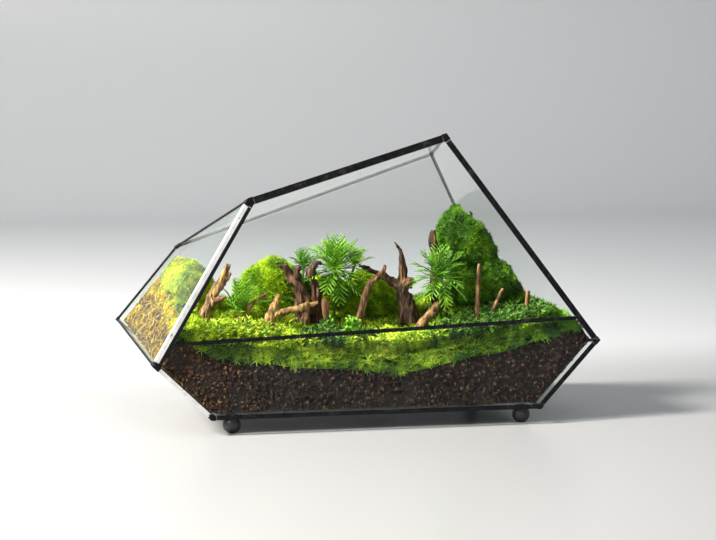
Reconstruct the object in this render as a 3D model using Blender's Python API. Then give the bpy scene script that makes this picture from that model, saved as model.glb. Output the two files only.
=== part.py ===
"""Faceted glass terrarium on ball feet, planted with moss, ferns and driftwood.

Run with:  blender --background --python part.py
Metres, +Z up, +X along the long side; the open front faces -Y and the base's front edge is at y = 0
before the last step, which puts the middle of the footprint on the origin.
The case is worked out from planes: each pane, strip and corner is met from three of them at a time.
"""

from collections import namedtuple
from math import cos, exp, pi, radians, sin, sqrt

import bmesh
import bpy
from mathutils import Euler, Matrix, Vector

MM = 0.001
CM = 0.01

# ---- The case: its outer planes ------------------------------------------------------------------

BASE_HEIGHT = 11 * MM             # underside of the case above the table
BASE_DEPTH = 141 * MM             # front to back of the base, on the middle line
FRONT_LEAN = radians(10)          # the front face leans back
BACK_LEAN = radians(21.5)         # the back face leans forward
BACK_YAW = radians(3.4)           # the back face is turned, so the right side is deeper

# Front outline seen square on: sideways from the middle and height above the table, clockwise.
FRONT_CORNERS = {
    "shoulder": (-86 * MM, 159 * MM),
    "peak": (54 * MM, 202 * MM),
    "right_tip": (160 * MM, 57 * MM),
    "base_right": (115 * MM, BASE_HEIGHT),
    "base_left": (-115 * MM, BASE_HEIGHT),
    "left_tip": (-154 * MM, 48 * MM),
}

# Side faces clockwise from the shoulder, and how far each opens (+) or closes (-) towards the back.
SPLAY = {
    "top": radians(-9.5),
    "upper_right": radians(-7.5),
    "lower_right": radians(-8),
    "base": -FRONT_LEAN,          # level
    "lower_left": radians(-7),
    "upper_left": radians(20),
}
SIDES = list(SPLAY)

# ---- Panes, strips and crossbar ------------------------------------------------------------------

GAP = 0.3 * MM                    # clearance between pieces that touch
PROUD = 0.3 * MM                  # soldered corners stand proud of the strips by this
STRIP_UNDER = 1.2 * MM            # underside of a strip below the case's outer plane
GLASS_TOP = STRIP_UNDER + GAP
GLASS_UNDER = GLASS_TOP + 2 * MM
INSIDE = GLASS_UNDER + 0.4 * MM   # planting stays inside this depth

RIM_WIDTH = {                     # width of the strip on the front face, along each side face
    "top": 5.4 * MM,
    "upper_right": 4.4 * MM,
    "lower_right": 3.5 * MM,
    "base": 3.5 * MM,
    "lower_left": 4.2 * MM,
    "upper_left": 5.5 * MM,
}
RETURN_WIDTH = 3 * MM             # the same strips, folded round onto the side faces
EDGE_WIDTH = 1.8 * MM             # strips on all the other edges, on each face
CORNER_ARM = 1 * MM               # straight length of a soldered corner's arm

BAR_TOP = ((-147 * MM, 63 * MM), (150 * MM, 74.5 * MM))   # crossbar's top line on the front face
BAR_HEIGHT = 2.6 * MM
BAR_SHEET = 0.9 * MM              # the crossbar is a folded channel of this thickness
BAR_BACK = GLASS_UNDER + GAP + BAR_SHEET
FRONT_INSIDE = BAR_BACK + GAP     # planting also stays clear of the crossbar

# ---- Feet ----------------------------------------------------------------------------------------

FOOT_RADIUS = 6.25 * MM
FOOT_FLAT = 2.5 * MM              # radius of the flat that it stands on
FOOT_NECK = 4 * MM
FOOT_STEPS = 20
FEET = {
    "front_left": (-100 * MM, 13 * MM),
    "front_right": (104 * MM, 13 * MM),
    "back_left": (-100 * MM, 121 * MM),
    "back_right": (98 * MM, 130 * MM),
}

# ---- Ground --------------------------------------------------------------------------------------

# Height of the soil along the front pane, from left to right.
SOIL_LINE = ((-18, 7.0), (-13.5, 5.6), (-11, 4.3), (-3.5, 3.6), (1.5, 3.2),
             (8.5, 4.2), (12.5, 5.1), (16, 6.0))
BANK_RISE = 3.6 * CM              # the soil climbs this much towards the back
BANK_RUN = 5.5 * CM               # over about this depth
MOSS_DEPTH = 9 * MM
LATTICE = 15 * MM                 # spacing of the ground's grid
LATTICE_CORNER = (-185 * MM, -12 * MM)
LATTICE_COLUMNS, LATTICE_ROWS = 25, 12

# ---- Planting (its tables are in centimetres from the middle of the base's front edge) -------------

# Moss cushions, each a few ellipsoids joined: centre, radii, tilt to the left in degrees.
CUSHIONS = {
    "moss_mound_left": [((-13.4, 8.0, 7.2), (3.4, 3.6, 4.2), 0)],
    "moss_bank_middle": [((-6.2, 9.0, 7.7), (2.6, 2.2, 3.4), 0),
                         ((-2.6, 9.6, 7.0), (2.8, 1.8, 2.8), 0),
                         ((0.9, 9.2, 6.9), (2.3, 2.0, 3.0), 0)],
    "moss_hill_right": [((8.1, 7.6, 12.0), (2.5, 2.2, 3.0), 0),
                        ((8.8, 7.6, 8.6), (2.3, 2.2, 3.6), 0),
                        ((10.6, 6.8, 7.8), (2.2, 2.2, 4.2), 35)],
}

CUSHION_SIDES, CUSHION_BANDS = 18, 9

# Wood: each limb is a route of points with the radius there in millimetres.
WOOD = {
    "driftwood_fork_left": [
        [((-11.7, 3.6, 5.0), 6.5), ((-11.5, 4.0, 7.9), 4.5), ((-11.0, 4.3, 8.9), 4), ((-9.6, 5.0, 11.2), 2)],
        [((-11.3, 4.2, 8.2), 3), ((-10.7, 4.2, 9.3), 3), ((-9.7, 4.0, 10.7), 2.2)],
        [((-11.4, 4.1, 7.9), 3), ((-11.0, 4.0, 8.5), 3), ((-10.0, 3.6, 9.1), 1.8)]],
    "driftwood_y": [
        [((-7.1, 3.5, 5.0), 5), ((-7.1, 3.7, 7.2), 5.2), ((-6.8, 4.0, 8.0), 4), ((-6.3, 4.3, 9.0), 2.4)],
        [((-7.1, 3.9, 7.7), 3), ((-5.9, 3.9, 7.8), 2.8), ((-4.9, 3.8, 8.1), 2.6), ((-3.6, 3.6, 8.5), 1.8)]],
    "stump_centre": [
        [((-4.4, 5.4, 5.0), 8.5), ((-4.5, 5.6, 8.4), 7), ((-5.0, 5.7, 10.5), 5.5)],
        [((-3.2, 5.0, 5.0), 7), ((-3.4, 5.2, 8.1), 5.5), ((-3.6, 5.4, 9.3), 5), ((-3.9, 5.6, 10.9), 4)]],
    "stick_curved": [
        [((-1.2, 3.6, 5.4), 4), ((-0.5, 4.0, 7.7), 3.6), ((-0.1, 4.3, 9.2), 3), ((0.4, 4.5, 9.9), 2.8),
         ((1.1, 4.6, 10.2), 2.8), ((1.4, 4.8, 10.9), 1.4)]],
    "branch_arched": [
        [((3.4, 5.4, 5.4), 11), ((3.2, 5.6, 7.6), 8), ((2.7, 6.2, 9.1), 4.6), ((1.9, 6.8, 9.7), 3.4),
         ((1.1, 7.2, 10.1), 3.2), ((-0.1, 7.6, 10.6), 2.6)],
        [((2.4, 6.2, 9.1), 4), ((3.3, 5.9, 9.4), 5), ((3.8, 5.7, 9.7), 3)],
        [((3.0, 6.2, 9.0), 4), ((2.9, 6.3, 10.7), 3.6), ((2.8, 6.3, 11.7), 2.6), ((2.3, 6.4, 12.4), 1.2)]],
    "wood_stub_hill": [[((5.6, 6.6, 6.0), 6), ((5.5, 6.5, 10.6), 5), ((5.1, 6.3, 13.2), 2.6)]],
    "stick_right_tall": [[((7.6, 3.4, 5.8), 2.6), ((7.9, 3.8, 9.4), 2.2), ((8.0, 4.0, 11.0), 1.6)]],
    "stick_right_slanted": [[((8.0, 3.0, 5.8), 2), ((9.1, 3.5, 8.2), 1.9), ((9.7, 3.7, 9.2), 1.8)]],
    "stick_right_short": [[((11.2, 2.9, 6.0), 2.6), ((11.3, 3.0, 9.1), 2.4)]],
}
LIMB_SIDES = 8
SHARP_ANGLE = 35                  # degrees: flatter edges than this are shaded smooth

# Ferns: foot, crown, reach of the fronds, their rise above the crown, and how many.
Fern = namedtuple("Fern", "foot crown reach rise fronds")
FERNS = {
    "fern_centre": Fern((-2.0, 7.0, 5.5), (-2.0, 6.2, 10.6), 2.3, 1.9, 11),
    "fern_right": Fern((5.4, 4.6, 5.5), (5.2, 4.3, 10.0), 1.65, 1.3, 11),
    "fern_left": Fern((-8.9, 5.6, 5.5), (-8.8, 5.6, 7.9), 1.3, 1.9, 7),
}
STALK_RADIUS = 1.8 * MM
FROND_DEPTH = 1.2 * MM
VALLEY_REACH, VALLEY_RISE = 0.38, 0.62   # between two fronds, as shares of the fronds' own

# Colour, metallic and roughness of each material.
FINISHES = {
    "glass": ((0.86, 0.93, 0.91), 0.0, 0.02),
    "black_metal": ((0.02, 0.02, 0.022), 0.9, 0.35),
    "soil": ((0.06, 0.035, 0.02), 0.0, 0.95),
    "moss": ((0.25, 0.42, 0.04), 0.0, 0.9),
    "driftwood": ((0.32, 0.19, 0.09), 0.0, 0.7),
    "fern": ((0.12, 0.40, 0.05), 0.0, 0.55),
}


# ---- Planes --------------------------------------------------------------------------------------

class Plane(namedtuple("Plane", "normal distance")):
    """Points p with normal . p = distance; the normal faces out of the case."""

    def inward(self, depth):
        return Plane(self.normal, self.distance - depth)


def plane_through(point, normal):
    normal = normal.normalized()
    return Plane(normal, normal.dot(point))


def meet(a, b, c):
    """The point that three planes share."""
    rows = Matrix((a.normal, b.normal, c.normal))
    return rows.inverted() @ Vector((a.distance, b.distance, c.distance))


def case_planes():
    front = plane_through(Vector((0, 0, BASE_HEIGHT)), Vector((0, -cos(FRONT_LEAN), sin(FRONT_LEAN))))
    outline = []
    for x, z in FRONT_CORNERS.values():
        y = (front.distance - front.normal.z * z) / front.normal.y
        outline.append(Vector((x, y, z)))
    planes = {"front": front}
    for step, (side, splay) in enumerate(SPLAY.items()):
        start, end = outline[step], outline[(step + 1) % len(outline)]
        outward = (end - start).cross(front.normal).normalized()
        if outward.dot(start) < outward.dot(outline[step - 2]):
            outward.negate()
        planes[side] = plane_through(start, outward * cos(splay) + front.normal * sin(splay))
    level = Vector((-sin(BACK_YAW), cos(BACK_YAW), 0))
    planes["back"] = plane_through(Vector((0, BASE_DEPTH, BASE_HEIGHT)),
                                   level * cos(BACK_LEAN) + Vector((0, 0, sin(BACK_LEAN))))
    return planes


CASE = case_planes()


def neighbours(face):
    """The faces around one face, in order."""
    if face in ("front", "back"):
        return SIDES
    place = SIDES.index(face)
    return ["front", SIDES[(place + 1) % len(SIDES)], "back", SIDES[place - 1]]


def corner_names():
    """The three faces at every corner of the case, with the corner's name."""
    names = {}
    for place, corner in enumerate(FRONT_CORNERS):
        for end in ("front", "back"):
            names[f"{end}_{corner}"] = (end, SIDES[place - 1], SIDES[place])
    return names


# ---- Meshes and objects --------------------------------------------------------------------------

def clear_scene():
    for thing in list(bpy.data.objects):
        bpy.data.objects.remove(thing, do_unlink=True)


def material(name):
    colour, metallic, roughness = FINISHES[name]
    made = bpy.data.materials.get(name) or bpy.data.materials.new(name)
    made.use_nodes = True
    made.diffuse_color = (*colour, 1)
    shader = made.node_tree.nodes["Principled BSDF"]
    shader.inputs["Base Color"].default_value = (*colour, 1)
    shader.inputs["Metallic"].default_value = metallic
    shader.inputs["Roughness"].default_value = roughness
    if name == "glass":
        shader.inputs["Transmission Weight"].default_value = 1.0
    return made


def place_object(name, mesh_builder, finish, smooth=False):
    """Turn a bmesh into a named object on the stand, with its normals facing out."""
    bmesh.ops.recalc_face_normals(mesh_builder, faces=mesh_builder.faces)
    mesh = bpy.data.meshes.new(name)
    mesh_builder.to_mesh(mesh)
    mesh_builder.free()
    if smooth:
        mesh.shade_smooth()
        mesh.set_sharp_from_angle(angle=radians(SHARP_ANGLE))
    piece = bpy.data.objects.new(name, mesh)
    piece.data.materials.append(material(finish))
    bpy.context.scene.collection.objects.link(piece)
    piece.parent = STAND
    return piece


def as_guide(piece):
    """Keep an object as a cutter only."""
    piece.hide_render = True
    piece.display_type = "WIRE"
    return piece


def boolean(piece, other, operation):
    step = piece.modifiers.new(operation.lower(), "BOOLEAN")
    step.operation = operation
    step.object = other
    step.solver = "EXACT"


def loft(rings):
    """A closed solid through rings of equally many points, capped at both ends."""
    shape = bmesh.new()
    rows = [[shape.verts.new(point) for point in ring] for ring in rings]
    for low, high in zip(rows, rows[1:]):
        for place in range(len(low)):
            after = (place + 1) % len(low)
            shape.faces.new((low[place], low[after], high[after], high[place]))
    shape.faces.new(rows[0][::-1])
    shape.faces.new(rows[-1])
    return shape


# ---- Panes ---------------------------------------------------------------------------------------

def pane_ring(face, around, depth, seats=()):
    """Outline of a pane at one depth, mitred against its neighbours with a gap."""
    limits = [CASE[other].inward(depth + GAP) for other in around] + list(seats)
    flat = CASE[face].inward(depth)
    return [meet(flat, limit, limits[(place + 1) % len(limits)]) for place, limit in enumerate(limits)]


def make_panes():
    for face in [*SIDES, "back"]:
        rings = [pane_ring(face, neighbours(face), depth) for depth in (GLASS_TOP, GLASS_UNDER)]
        place_object(f"glass_{face}", loft(rings), "glass")
    around = ["upper_right", "lower_right", "base", "lower_left", "upper_left"]
    seat = bar_plane(BAR_SHEET + GAP)
    rings = [pane_ring("front", around, depth, [seat]) for depth in (GLASS_TOP, GLASS_UNDER)]
    place_object("glass_front_lower", loft(rings), "glass")


# ---- Strips and soldered corners -----------------------------------------------------------------

def leg_width(face, other):
    """Width, on one face, of the strip along its edge with another."""
    if face == "front":
        return RIM_WIDTH[other]
    if other == "front":
        return RETURN_WIDTH
    return EDGE_WIDTH


def leg_limit(face, other, extra=0.0):
    """Plane square to a face where the strip along its edge with another face ends."""
    flat, side = CASE[face], CASE[other]
    into_face = -(side.normal - flat.normal * side.normal.dot(flat.normal)).normalized()
    third = next(name for name in neighbours(face) if name in neighbours(other))
    on_edge = meet(flat, side, CASE[third])
    return Plane(into_face, into_face.dot(on_edge) + leg_width(face, other) + extra)


def edge_cut(face, other, third, seam):
    """Plane across an edge, just past the soldered corner that a third face makes with it."""
    corner = meet(CASE[face], CASE[other], CASE[third])
    along = CASE[face].normal.cross(CASE[other].normal).normalized()
    if along.dot(CASE[third].normal) > 0:
        along.negate()
    reach = 0.0
    for flat, side in ((face, other), (other, face)):
        inner = meet(CASE[flat], leg_limit(flat, side), leg_limit(flat, third))
        reach = max(reach, along.dot(inner - corner))
    return Plane(along, along.dot(corner) + reach + CORNER_ARM + seam)


def strip_section(face, other, cut):
    """Folded section of the strip over an edge, on a plane across it."""
    points = []
    for flat, side in ((face, other), (other, face)):
        limit = leg_limit(flat, side)
        outer = meet(CASE[flat].inward(PROUD), limit, cut)
        inner = meet(CASE[flat].inward(STRIP_UNDER), limit, cut)
        points.append((outer, inner))
    ridge = meet(CASE[face].inward(PROUD), CASE[other].inward(PROUD), cut)
    valley = meet(CASE[face].inward(STRIP_UNDER), CASE[other].inward(STRIP_UNDER), cut)
    (first_outer, first_inner), (last_outer, last_inner) = points
    return [ridge, first_outer, first_inner, valley, last_inner, last_outer]


def make_strips():
    for place, (corner, side) in enumerate(zip(FRONT_CORNERS, SIDES)):
        before, after = SIDES[place - 1], SIDES[(place + 1) % len(SIDES)]
        for end in ("front", "back"):
            cuts = [edge_cut(end, side, third, GAP / 2) for third in (before, after)]
            rings = [strip_section(end, side, cut) for cut in cuts]
            place_object(f"strip_{end}_{side}", loft(rings), "black_metal")
        cuts = [edge_cut(before, side, third, GAP / 2) for third in ("front", "back")]
        rings = [strip_section(before, side, cut) for cut in cuts]
        place_object(f"strip_{corner}", loft(rings), "black_metal")


def make_corner(name, faces):
    """Soldered corner: a short folded arm along each of the three edges that meet there."""
    shape = bmesh.new()
    skins = []
    for depth in (0.0, STRIP_UNDER):
        tip = shape.verts.new(meet(*[CASE[face].inward(depth) for face in faces]))
        skin = {"tip": tip}
        for face in faces:
            flat = CASE[face].inward(depth)
            first, last = [other for other in faces if other != face]
            limits = {other: leg_limit(face, other) for other in (first, last)}
            skin[face] = shape.verts.new(meet(flat, limits[first], limits[last]))
            for other, third in ((first, last), (last, first)):
                cut = edge_cut(face, other, third, -GAP / 2)
                skin[face, other] = shape.verts.new(meet(flat, limits[other], cut))
                edge = frozenset((face, other))
                if edge not in skin:
                    skin[edge] = shape.verts.new(meet(flat, CASE[other].inward(depth), cut))
        skins.append(skin)
    outer, inner = skins
    for face in faces:
        first, last = [other for other in faces if other != face]
        path = ["tip", frozenset((face, first)), (face, first), face, (face, last), frozenset((face, last))]
        shape.faces.new([outer[key] for key in path])
        shape.faces.new([inner[key] for key in reversed(path)])
        for start, end in (((face, first), face), (face, (face, last))):
            shape.faces.new([outer[start], inner[start], inner[end], outer[end]])
        if faces.index(face) < faces.index(first):
            close_arm(shape, outer, inner, face, first)
        if faces.index(face) < faces.index(last):
            close_arm(shape, outer, inner, face, last)
    place_object(f"corner_{name}", shape, "black_metal")


def close_arm(shape, outer, inner, face, other):
    edge = frozenset((face, other))
    shape.faces.new([outer[edge], outer[face, other], inner[face, other],
                     inner[edge], inner[other, face], outer[other, face]])


def bar_plane(drop):
    """Plane square to the front face along the crossbar, a given distance below its top."""
    front = CASE["front"]
    left, right = [Vector((x, (front.distance - front.normal.z * z) / front.normal.y, z))
                   for x, z in BAR_TOP]
    up = front.normal.cross(right - left).normalized()
    if up.z < 0:
        up.negate()
    return Plane(up, up.dot(left) - drop)


def make_crossbar():
    """Folded channel that caps the lower front pane."""
    rings = []
    for side in ("upper_left", "upper_right"):
        end = leg_limit("front", side, GAP)
        section = [(PROUD, BAR_HEIGHT), (PROUD, 0), (BAR_BACK, 0), (BAR_BACK, BAR_HEIGHT),
                   (BAR_BACK - BAR_SHEET, BAR_HEIGHT), (BAR_BACK - BAR_SHEET, BAR_SHEET),
                   (STRIP_UNDER, BAR_SHEET), (STRIP_UNDER, BAR_HEIGHT)]
        rings.append([meet(CASE["front"].inward(depth), bar_plane(drop), end) for depth, drop in section])
    place_object("crossbar_front", loft(rings), "black_metal")


# ---- Feet ----------------------------------------------------------------------------------------

def make_feet():
    """Ball feet turned in one piece with the neck that meets the base glass."""
    middle = sqrt(FOOT_RADIUS ** 2 - FOOT_FLAT ** 2)
    neck_start = sqrt(FOOT_RADIUS ** 2 - FOOT_NECK ** 2)
    low, high = -middle, neck_start
    profile = []
    arc_steps = 8
    for step in range(arc_steps + 1):
        height = low + (high - low) * step / arc_steps
        profile.append((sqrt(FOOT_RADIUS ** 2 - height ** 2), middle + height))
    profile.append((FOOT_NECK, BASE_HEIGHT + GLASS_TOP - GAP))
    turns = [2 * pi * step / FOOT_STEPS for step in range(FOOT_STEPS)]
    for name, (x, y) in FEET.items():
        rings = [[(radius * cos(turn), radius * sin(turn), z) for turn in turns] for radius, z in profile]
        foot = place_object(f"foot_{name}", loft(rings), "black_metal", smooth=True)
        foot.location = (x, y, 0)


# ---- Ground --------------------------------------------------------------------------------------

def soil_height(x, y):
    """Soil surface: a wavy line along the front pane that banks up towards the back."""
    points = [(px * CM, pz * CM) for px, pz in SOIL_LINE]
    height = points[-1][1]
    for (x0, z0), (x1, z1) in zip(points, points[1:]):
        if x <= x1:
            part = min(max((x - x0) / (x1 - x0), 0.0), 1.0)
            height = z0 + (z1 - z0) * part * part * (3 - 2 * part)
            break
    return height + BANK_RISE * (1 - exp(-max(y, 0.0) / BANK_RUN))


def moss_height(x, y):
    return soil_height(x, y) + MOSS_DEPTH


def ground_block(low, high):
    """A block over the whole case, between two heights given as functions of x and y."""
    x_steps, y_steps = LATTICE_COLUMNS, LATTICE_ROWS
    start = Vector(LATTICE_CORNER)
    shape = bmesh.new()
    layers = []
    for height in (low, high):
        rows = []
        for row in range(y_steps):
            y = start.y + row * LATTICE
            xs = [start.x + column * LATTICE for column in range(x_steps)]
            rows.append([shape.verts.new((x, y, height(x, y))) for x in xs])
        layers.append(rows)
    for rows in layers:
        for near, far in zip(rows, rows[1:]):
            for place in range(x_steps - 1):
                shape.faces.new((near[place], near[place + 1], far[place]))
                shape.faces.new((near[place + 1], far[place + 1], far[place]))
    under, over = layers
    for rows in ([layer[0] for layer in layers], [layer[-1] for layer in layers],
                 [[row[0] for row in under], [row[0] for row in over]],
                 [[row[-1] for row in under], [row[-1] for row in over]]):
        for place in range(len(rows[0]) - 1):
            shape.faces.new((rows[0][place], rows[0][place + 1], rows[1][place + 1], rows[1][place]))
    return shape


def inside_cutter():
    """The room inside the panes, clear of the crossbar."""
    shape = bmesh.new()
    for faces in corner_names().values():
        depths = [FRONT_INSIDE if face == "front" else INSIDE for face in faces]
        limits = [CASE[face].inward(depth) for face, depth in zip(faces, depths)]
        shape.verts.new(meet(*limits))
    bmesh.ops.convex_hull(shape, input=shape.verts)
    return as_guide(place_object("cutter_inside", shape, "glass"))


def make_ground(inside):
    soil = place_object("soil", ground_block(lambda x, y: 0.0, soil_height), "soil")
    carpet = place_object("moss_carpet", ground_block(lambda x, y: soil_height(x, y) + GAP, moss_height),
                          "moss")
    for piece in (soil, carpet):
        boolean(piece, inside, "INTERSECT")
    ground = ground_block(lambda x, y: -1 * CM, lambda x, y: moss_height(x, y) + GAP)
    return as_guide(place_object("cutter_ground", ground, "soil"))


# ---- Moss, wood and ferns ------------------------------------------------------------------------

def ellipsoid(centre, radii, tilt):
    shape = bmesh.new()
    bmesh.ops.create_uvsphere(shape, u_segments=CUSHION_SIDES, v_segments=CUSHION_BANDS, radius=1)
    turn = Euler((0, -radians(tilt), 0)).to_matrix().to_4x4()
    stretch = Matrix.Diagonal((*[radius * CM for radius in radii], 1))
    bmesh.ops.transform(shape, matrix=Matrix.Translation(Vector(centre) * CM) @ turn @ stretch,
                        verts=shape.verts)
    return shape


def limb(route):
    """A tapering stick along a route, its rings square to the way it runs."""
    points = [Vector(point) * CM for point, _ in route]
    rings = []
    side = Vector((1, 0, 0))
    for place, (point, (_, radius)) in enumerate(zip(points, route)):
        ahead = points[min(place + 1, len(points) - 1)] - points[max(place - 1, 0)]
        ahead.normalize()
        side = (side - ahead * side.dot(ahead)).normalized()
        other = ahead.cross(side)
        turns = [2 * pi * step / LIMB_SIDES for step in range(LIMB_SIDES)]
        rings.append([point + (side * cos(turn) + other * sin(turn)) * radius * MM for turn in turns])
    return loft(rings)


def join_parts(name, shapes, finish):
    """One solid from several overlapping shapes."""
    piece = place_object(name, shapes[0], finish, smooth=True)
    for count, shape in enumerate(shapes[1:], 1):
        extra = as_guide(place_object(f"cutter_{name}_{count}", shape, finish))
        boolean(piece, extra, "UNION")
    return piece


def rosette(fern):
    """A fern's plain solid: a stalk that carries a star of arching fronds."""
    foot, crown = Vector(fern.foot) * CM, Vector(fern.crown) * CM
    reach, rise = fern.reach * CM, fern.rise * CM
    count = 2 * fern.fronds
    turns = [pi * step / fern.fronds for step in range(count)]

    def star(lift):
        """Tips and valleys in turn; the tips hang a little below the arch's top."""
        ring = []
        for place, turn in enumerate(turns):
            at_tip = place % 2 == 0
            radius = reach if at_tip else VALLEY_REACH * reach
            height = rise if at_tip else VALLEY_RISE * rise
            ring.append(crown + Vector((radius * cos(turn), radius * sin(turn), height + lift)))
        return ring

    def round_ring(centre, radius):
        return [centre + Vector((radius * cos(turn), radius * sin(turn), 0)) for turn in turns]

    neck = crown - Vector((0, 0, FROND_DEPTH))
    return loft([round_ring(foot, STALK_RADIUS), round_ring(neck, STALK_RADIUS),
                 star(0), star(FROND_DEPTH), round_ring(crown + Vector((0, 0, FROND_DEPTH)), STALK_RADIUS)])


def make_planting(inside, ground):
    pieces = []
    for name, lumps in CUSHIONS.items():
        pieces.append(join_parts(name, [ellipsoid(*lump) for lump in lumps], "moss"))
    for name, limbs in WOOD.items():
        pieces.append(join_parts(name, [limb(route) for route in limbs], "driftwood"))
    for name, fern in FERNS.items():
        pieces.append(place_object(name, rosette(fern), "fern"))
    for piece in pieces:
        boolean(piece, ground, "DIFFERENCE")
        boolean(piece, inside, "INTERSECT")


# ---- Build ---------------------------------------------------------------------------------------

clear_scene()
STAND = bpy.data.objects.new("footprint_middle", None)
bpy.context.scene.collection.objects.link(STAND)
corners = {name: meet(*[CASE[face] for face in faces]) for name, faces in corner_names().items()}
xs = [point.x for point in corners.values()]
ys = [point.y for point in corners.values()]
STAND.location = (-(min(xs) + max(xs)) / 2, -(min(ys) + max(ys)) / 2, 0)

make_panes()
make_strips()
for corner_name, corner_faces in corner_names().items():
    make_corner(corner_name, corner_faces)
make_crossbar()
make_feet()
case_room = inside_cutter()
ground_cutter = make_ground(case_room)
make_planting(case_room, ground_cutter)
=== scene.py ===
import bmesh
import bpy
import math
import random
from mathutils import Matrix, Vector, noise


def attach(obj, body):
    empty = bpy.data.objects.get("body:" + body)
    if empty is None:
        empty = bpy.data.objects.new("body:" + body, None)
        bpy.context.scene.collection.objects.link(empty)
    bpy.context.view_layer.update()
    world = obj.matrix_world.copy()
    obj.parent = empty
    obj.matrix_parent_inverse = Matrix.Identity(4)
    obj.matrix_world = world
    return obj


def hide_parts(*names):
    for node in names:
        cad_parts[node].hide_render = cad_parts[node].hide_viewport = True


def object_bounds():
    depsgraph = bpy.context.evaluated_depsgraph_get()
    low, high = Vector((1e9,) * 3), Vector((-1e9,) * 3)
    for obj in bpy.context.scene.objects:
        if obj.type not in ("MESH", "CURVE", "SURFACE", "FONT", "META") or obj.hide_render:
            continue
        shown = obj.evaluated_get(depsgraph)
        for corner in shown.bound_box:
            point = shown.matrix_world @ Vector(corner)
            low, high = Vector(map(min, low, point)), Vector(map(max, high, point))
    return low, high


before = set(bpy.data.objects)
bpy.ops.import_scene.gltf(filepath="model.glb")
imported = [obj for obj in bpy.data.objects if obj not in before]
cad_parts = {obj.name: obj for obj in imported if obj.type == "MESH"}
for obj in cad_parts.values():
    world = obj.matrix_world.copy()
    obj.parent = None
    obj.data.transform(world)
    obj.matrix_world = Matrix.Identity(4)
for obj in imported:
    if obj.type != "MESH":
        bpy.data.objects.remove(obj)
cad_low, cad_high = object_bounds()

# ---- Camera and studio -------------------------------------------------------------------------
# The case is seen from its left, a little above the rim of the lower pane. It stands on a pale,
# slightly glossy table that sweeps up behind it. The window is on the left, high up, and a bright
# card stands on the left behind the case for the metal to mirror.

BASE_MIDDLE, BASE_FRONT = 0.006943, -0.073807   # x and y of the middle of the base's front edge


def at(x, y, z):
    """A point given in centimetres from the middle of the base's front edge, y to the back."""
    return Vector((x * 0.01 + BASE_MIDDLE, y * 0.01 + BASE_FRONT, z * 0.01))


camera = bpy.data.objects.new("camera", bpy.data.cameras.new("camera"))
bpy.context.scene.collection.objects.link(camera)
camera.location = (-0.21449, -1.19692, 0.24121)
camera.rotation_mode = "QUATERNION"
camera.rotation_quaternion = Vector((0.1797, 0.9772, -0.1132)).to_track_quat("-Z", "Y")
camera.data.lens = 85.47
camera.data.sensor_width = 36
camera.data.clip_start, camera.data.clip_end = 0.05, 30
bpy.context.scene.camera = camera
bpy.context.scene.view_settings.view_transform = "Standard"

TABLE_REACH, WALL_HEIGHT, SWEEP_RADIUS = 3.0, 3, 0.45
table = bmesh.new()
bmesh.ops.create_grid(table, x_segments=1, y_segments=1, size=TABLE_REACH,
                      matrix=Matrix.Translation((0, -0.9, 0)))
far_edge = [e for e in table.edges if all(v.co.y > 1.0 for v in e.verts)]
risen = bmesh.ops.extrude_edge_only(table, edges=far_edge)["geom"]
wall_top = [g for g in risen if isinstance(g, bmesh.types.BMVert)]
bmesh.ops.translate(table, verts=wall_top, vec=(0, 0, WALL_HEIGHT))
bmesh.ops.bevel(table, geom=far_edge, offset=SWEEP_RADIUS, segments=14, profile=0.5,
                affect="EDGES", material=-1)
table_mesh = bpy.data.meshes.new("table")
table.to_mesh(table_mesh)
table_mesh.shade_smooth()
table_top = bpy.data.objects.new("table", table_mesh)
bpy.context.scene.collection.objects.link(table_top)
white = bpy.data.materials.new("white_table")
white.use_nodes = True
white.node_tree.nodes["Principled BSDF"].inputs["Roughness"].default_value = 0.32
tree = white.node_tree
across_table = tree.nodes.new("ShaderNodeTexCoord")
depth = tree.nodes.new("ShaderNodeSeparateXYZ")
fade = tree.nodes.new("ShaderNodeMapRange")
fade.interpolation_type = "SMOOTHSTEP"
FADE_START, FADE_END = 0.08, 0.30   # the table lightens between these distances behind the case
fade.inputs["From Min"].default_value = FADE_START
fade.inputs["From Max"].default_value = FADE_END
tones = tree.nodes.new("ShaderNodeMix")
tones.data_type = "RGBA"
tones.inputs["A"].default_value = (0.36, 0.362, 0.37, 1)
tones.inputs["B"].default_value = (0.60, 0.61, 0.63, 1)
tree.links.new(across_table.outputs["Object"], depth.inputs["Vector"])
tree.links.new(depth.outputs["Y"], fade.inputs["Value"])
tree.links.new(fade.outputs["Result"], tones.inputs["Factor"])
tree.links.new(tones.outputs["Result"], tree.nodes["Principled BSDF"].inputs["Base Color"])
table_mesh.materials.append(white)


def softbox(name, place, target, size, watts, colour):
    """A square lamp at a place, turned to face its target."""
    lamp = bpy.data.objects.new(name, bpy.data.lights.new(name, "AREA"))
    bpy.context.scene.collection.objects.link(lamp)
    lamp.data.shape, lamp.data.size = "SQUARE", size
    lamp.data.energy, lamp.data.color = watts, colour
    lamp.location = place
    lamp.rotation_mode = "QUATERNION"
    lamp.rotation_quaternion = (Vector(target) - Vector(place)).to_track_quat("-Z", "Y")


softbox("window", (-1.05, -0.25, 0.95), target=(0, 0, 0.06), size=0.26, watts=66,
        colour=(1.0, 0.96, 0.88))
softbox("card_behind_left", (-0.95, 0.85, 0.68), target=(-0.1, 0, 0.1), size=1.0, watts=2.2,
        colour=(1, 1, 1))
softbox("overhead", (0.3, -0.5, 1.5), target=(0, 0, 0), size=1.2, watts=5,
        colour=(0.95, 0.98, 1.0))
bpy.context.scene.world = bpy.data.worlds.new("room")
bpy.context.scene.world.use_nodes = True
room_light = bpy.context.scene.world.node_tree.nodes["Background"].inputs
room_light["Color"].default_value = (0.86, 0.90, 0.95, 1)
room_light["Strength"].default_value = 0.42

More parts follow.
